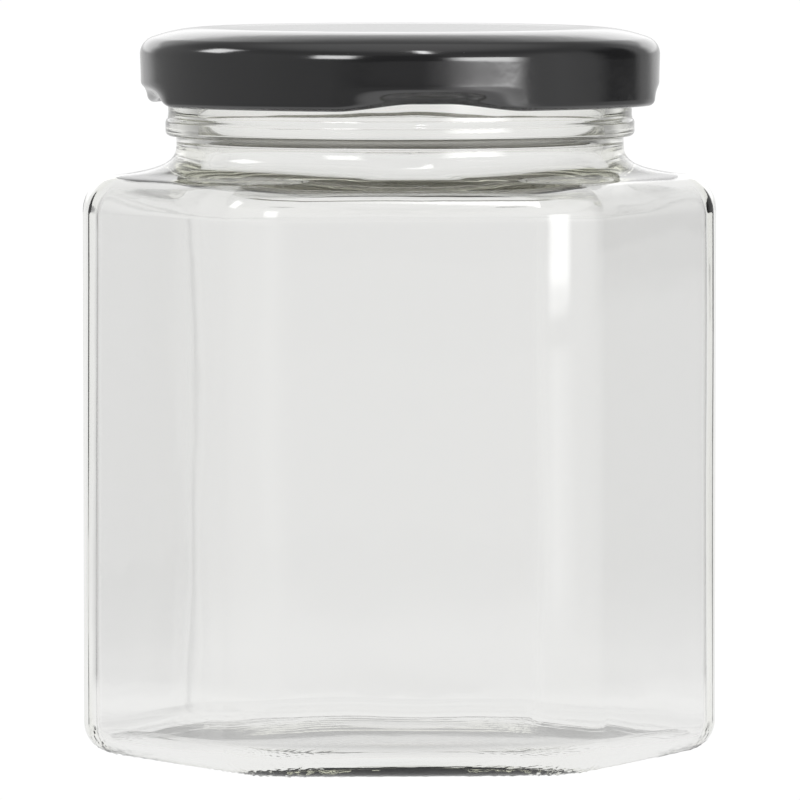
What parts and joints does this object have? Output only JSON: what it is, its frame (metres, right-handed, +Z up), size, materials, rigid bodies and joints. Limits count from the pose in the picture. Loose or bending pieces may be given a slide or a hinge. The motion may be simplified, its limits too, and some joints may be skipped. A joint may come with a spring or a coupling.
{
  "type": "hexagonal glass jar",
  "caption": "Empty clear glass jar with a hexagonal body and round neck, closed by a glossy black twist-off metal lid.",
  "frame": {"origin": "centre of the base on the surface that the jar stands on", "axes": "+Z up along the jar's axis through the lid, -Y square out of the front face, +X out through a corner of the hexagon to the right"},
  "size_m": [0.0814, 0.0734, 0.0934],
  "materials": {
    "clear_glass": "clear polished flint glass with a faint grey-olive tint in its thick parts",
    "black_lacquer": "gloss black lacquer on thin sheet steel"
  },
  "bodies": {
    "root": {"jar_glass": "clear_glass", "lid": "black_lacquer"}
  },
  "joints": []
}
